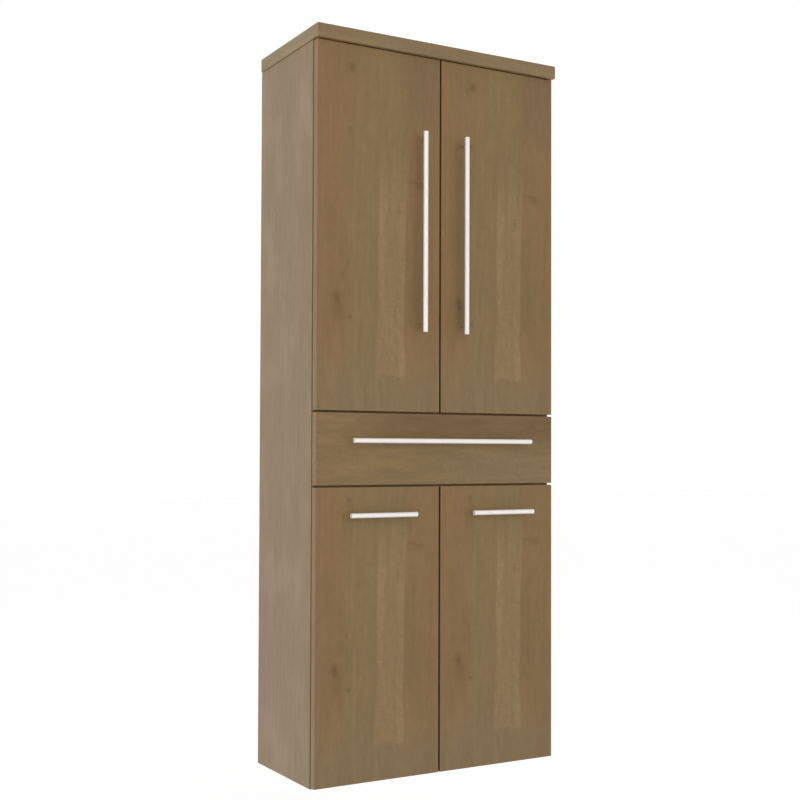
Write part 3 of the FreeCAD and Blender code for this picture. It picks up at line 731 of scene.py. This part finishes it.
def screw(build, at, facing, head, high, shank, long):
    """A pan-head screw with a cross recess, long over all. at is the middle of its head's outer face."""
    radius, thread = head / 2, shank / 2
    crown = [(wide * radius, deep * high) for wide, deep in CROWN]
    shoulder = max(high + SHANK_LEAST, long - shank)
    pin = [(thread, high), (thread, shoulder), (TIP_SHARE * thread, long)]
    rim, place = turned(build, at, facing, crown + pin)
    reach, arm, depth = RECESS_REACH * radius, RECESS_ARM * radius, RECESS_DEEP * high
    corners = []
    for quarter in range(4):
        spin = Matrix.Rotation(quarter * pi / 2, 2)
        corners += [spin @ Vector(corner) for corner in ((reach, -arm), (reach, arm), (arm, arm))]
    mouth = [build.verts.new(place @ Vector((x, y, 0.0))) for x, y in corners]
    feet = [Vector((x * RECESS_TAPER, y * RECESS_TAPER, -depth)) for x, y in corners]
    foot = [build.verts.new(place @ point) for point in feet]
    for index in range(len(corners)):
        build.faces.new((mouth[index - 1], mouth[index], foot[index], foot[index - 1]))
    build.faces.new(foot)
    pairs = [(ring[index - 1], ring[index]) for ring in (rim, mouth) for index in range(len(ring))]
    loops = [build.edges.get(pair) for pair in pairs]
    bmesh.ops.triangle_fill(build, use_beauty=True, use_dissolve=False, edges=loops)


def dome(build, at, facing, width, high):
    """A soft pad with a rounded face. at is the top of its crown."""
    profile = []
    for step in range(DOME_STEPS + 1):
        angle = pi / 2 * (step + DOME_FLAT) / (DOME_STEPS + DOME_FLAT)
        profile.append((width / 2 * sin(angle), high * DOME_DEEP * (1 - cos(angle))))
    crown, _ = turned(build, at, facing, profile + [(width / 2, high)])
    build.faces.new(crown[::-1])


def fitting(name, build, material, body, replaced=None):
    """Turns a bmesh into a piece of the cabinet, with smooth curves and crisp edges."""
    bmesh.ops.recalc_face_normals(build, faces=build.faces)
    for face in build.faces:
        face.smooth = True
    for edge in build.edges:
        edge.smooth = edge.calc_face_angle(0.0) < CRISP
    mesh = bpy.data.meshes.new(name)
    build.to_mesh(mesh)
    build.free()
    mesh.materials.append(material)
    piece = bpy.data.objects.new(name, mesh)
    scene.collection.objects.link(piece)
    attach(piece, body)
    if replaced:
        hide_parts(replaced)


def middle(low, high, axis, value):
    """The middle of a box, moved to a value along one axis."""
    place = (low + high) / 2
    place[axis] = value
    return place


def inward(low, high):
    """The sign of the way from a box to the cabinet's middle, along X."""
    return -1.0 if low.x + high.x > 0 else 1.0


def handle_screws(part):
    build = bmesh.new()
    for low, high in solids(f"{part}_handle_screws"):
        size, at = high - low, middle(low, high, 1, high.y)
        screw(build, at, (0, 1, 0), size.x, HANDLE_HEAD_SHARE * size.x, HANDLE_SHANK, size.y)
    fitting(f"{part}_handle_screw_set", build, screw_zinc, part, f"{part}_handle_screws")


def system_screws():
    build = bmesh.new()
    for low, high in solids("system_screws"):
        way, size = inward(low, high), high - low
        at = middle(low, high, 0, high.x if way > 0 else low.x)
        screw(build, at, (way, 0, 0), size.y, SYSTEM_HEAD_SHARE * size.y, SYSTEM_SHANK, size.x)
    fitting("system_screw_set", build, screw_zinc, "carcass", "system_screws")


def cover_screws():
    build = bmesh.new()
    for low, high in solids("cover_plate_screws"):
        size, at = high - low, middle(low, high, 2, low.z)
        screw(build, at, (0, 0, -1), size.x, COVER_HEAD_SHARE * size.x, COVER_SHANK, size.z)
    fitting("cover_screw_set", build, screw_zinc, "carcass", "cover_plate_screws")


def bumper_pads():
    build = bmesh.new()
    for low, high in solids("door_bumpers"):
        dome(build, middle(low, high, 1, low.y), (0, -1, 0), high.x - low.x, high.y - low.y)
    clear = plastic("bumper_rubber", BUMPER_CLEAR, rough=0.3, bump=0.05)
    fitting("bumper_pads", build, clear, "carcass", "door_bumpers")


def hinge_adjusters():
    """On each hinge arm: the side adjusting screw in front and the fixing screw behind."""
    build = bmesh.new()
    for low, high in solids("hinge_arms"):
        way = inward(low, high)
        face = (high.x if way > 0 else low.x) + way * ADJUSTER_PROUD
        for share, head in ARM_SCREWS:
            at = middle(low, high, 0, face)
            at.y = low.y + share * (high.y - low.y)
            shank = ADJUSTER_SHANK_SHARE * head
            screw(build, at, (way, 0, 0), head, ADJUSTER_PROUD, shank, ADJUSTER_LONG)
    fitting("hinge_adjusting_screws", build, screw_zinc, "carcass")


def hanger_adjusters():
    """On each hanging bracket's front: one screw for the height, one for the depth."""
    build = bmesh.new()
    shank = ADJUSTER_SHANK_SHARE * HANGER_HEAD
    for low, high in solids("hanging_brackets"):
        x = high.x - HANGER_INSET if inward(low, high) > 0 else low.x + HANGER_INSET
        for share in HANGER_SCREWS:
            at = Vector((x, low.y - HANGER_PROUD, low.z + share * (high.z - low.z)))
            screw(build, at, (0, -1, 0), HANGER_HEAD, HANGER_PROUD, shank, HANGER_LONG)
    fitting("hanger_adjusting_screws", build, screw_zinc, "carcass")


for part in ("drawer", *DOORS):
    handle_screws(part)
system_screws()
cover_screws()
bumper_pads()
hinge_adjusters()
hanger_adjusters()

# ------------------------------------------------------------------ camera

CAMERA_PLACE = (-1.4439, -2.8433, 0.7048)
CAMERA_TILT = 91.578        # degrees, 90 is level
CAMERA_TURN = -33.415       # degrees from +Y
CAMERA_SENSOR = 36.0        # millimetres, like the lens
CAMERA_LENS = 60.859
CAMERA_SHIFT = (-0.2055, 0.0264)
CAMERA_REACH = 100.0


def add_camera():
    """The photograph's camera, worked out from its perspective."""
    data = bpy.data.cameras.new("camera")
    data.sensor_width, data.lens = CAMERA_SENSOR, CAMERA_LENS
    data.shift_x, data.shift_y = CAMERA_SHIFT
    data.clip_end = CAMERA_REACH
    camera = bpy.data.objects.new("camera", data)
    camera.location = CAMERA_PLACE
    camera.rotation_euler = (radians(CAMERA_TILT), 0.0, radians(CAMERA_TURN))
    scene.collection.objects.link(camera)
    scene.camera = camera


add_camera()

# ------------------------------------------------------------------ light and floor

WORLD_LEVEL = 0.55
BACKDROP_LEVEL = 1.0
LAMP_LEVEL = 0.42
FRONT_LAMP = ((-0.2, -5.0, 1.2), (0.0, 0.0, 0.8), 4.0)  # place, target, size
LEFT_LAMP = ((-5.2, -0.6, 0.9), (-0.3, 0.0, 0.8), 3.0)
FLOOR_Z = -0.30
FLOOR_REACH = 30.0
FLOOR_TONES = ((0.86, 0.86, 0.86, 1.0), (0.88, 0.88, 0.88, 1.0))
FLOOR_ROUGH = (0.6, 0.7)
FLOOR_GLOSS = 0.2
FLOOR_GLOW = 0.45           # brings it near white to the camera and in reflections


def studio_world():
    """Plain white to the camera, in reflections and through what is clear. A lower white gives light."""
    world = bpy.data.worlds.new("studio")
    world.use_nodes = True
    scene.world = world
    tree = Tree(world.node_tree)
    rays = tree.new("ShaderNodeLightPath").outputs
    direct = tree.math("MAXIMUM", rays["Is Camera Ray"], rays["Is Glossy Ray"])
    seen = tree.math("MAXIMUM", direct, rays["Is Transmission Ray"])
    light = tree.new("ShaderNodeBackground", Color=WHITE, Strength=WORLD_LEVEL)
    backdrop = tree.new("ShaderNodeBackground", Color=WHITE, Strength=BACKDROP_LEVEL)
    either = tree.new("ShaderNodeMixShader")
    for socket, source in zip(either.inputs, (seen, light.outputs[0], backdrop.outputs[0])):
        tree.link(source, socket)
    tree.new("ShaderNodeOutputWorld", Surface=either.outputs[0])


def soft_lamp(name, place, target, size, level):
    """A square lamp that lights a surface facing it at the target to the given level."""
    data = bpy.data.lights.new(name, "AREA")
    data.shape, data.size = "SQUARE", size
    away = Vector(place) - Vector(target)
    data.energy = pi * pi * level * away.length_squared
    lamp = bpy.data.objects.new(name, data)
    lamp.location = place
    lamp.rotation_euler = away.to_track_quat("Z", "Y").to_euler()
    lamp.visible_camera = False
    lamp.visible_glossy = False
    scene.collection.objects.link(lamp)


def floor_finish():
    """Pale and matt. It keeps the cabinet's shadow."""
    look = Look("floor_pale")
    grit = look.noise(look.position, scale=40.0, detail=3.0)
    colour = look.mix(look.step(grit, *MIDDLE), *FLOOR_TONES)
    rough = look.step(grit, *MIDDLE, *FLOOR_ROUGH)
    look.set(Base_Color=colour, Roughness=rough, Specular_IOR_Level=FLOOR_GLOSS)
    rays = look.new("ShaderNodeLightPath").outputs
    seen = look.math("MAXIMUM", rays["Is Camera Ray"], rays["Is Glossy Ray"])
    glow = look.new("ShaderNodeEmission", Color=WHITE, Strength=look.times(seen, FLOOR_GLOW))
    both = look.new("ShaderNodeAddShader")
    look.link(look.shader.outputs[0], both.inputs[0])
    look.link(glow.outputs[0], both.inputs[1])
    look.link(both.outputs[0], look.output.inputs["Surface"])
    return look.material


def add_floor():
    mesh = bpy.data.meshes.new("floor")
    corners = ((-1, -1), (1, -1), (1, 1), (-1, 1))
    build = bmesh.new()
    build.faces.new([build.verts.new((x * FLOOR_REACH, y * FLOOR_REACH, FLOOR_Z)) for x, y in corners])
    build.to_mesh(mesh)
    build.free()
    mesh.materials.append(floor_finish())
    floor = bpy.data.objects.new("floor", mesh)
    scene.collection.objects.link(floor)


studio_world()
soft_lamp("front_lamp", *FRONT_LAMP, LAMP_LEVEL)
soft_lamp("left_lamp", *LEFT_LAMP, LAMP_LEVEL)
add_floor()
scene.view_settings.view_transform = "Standard"
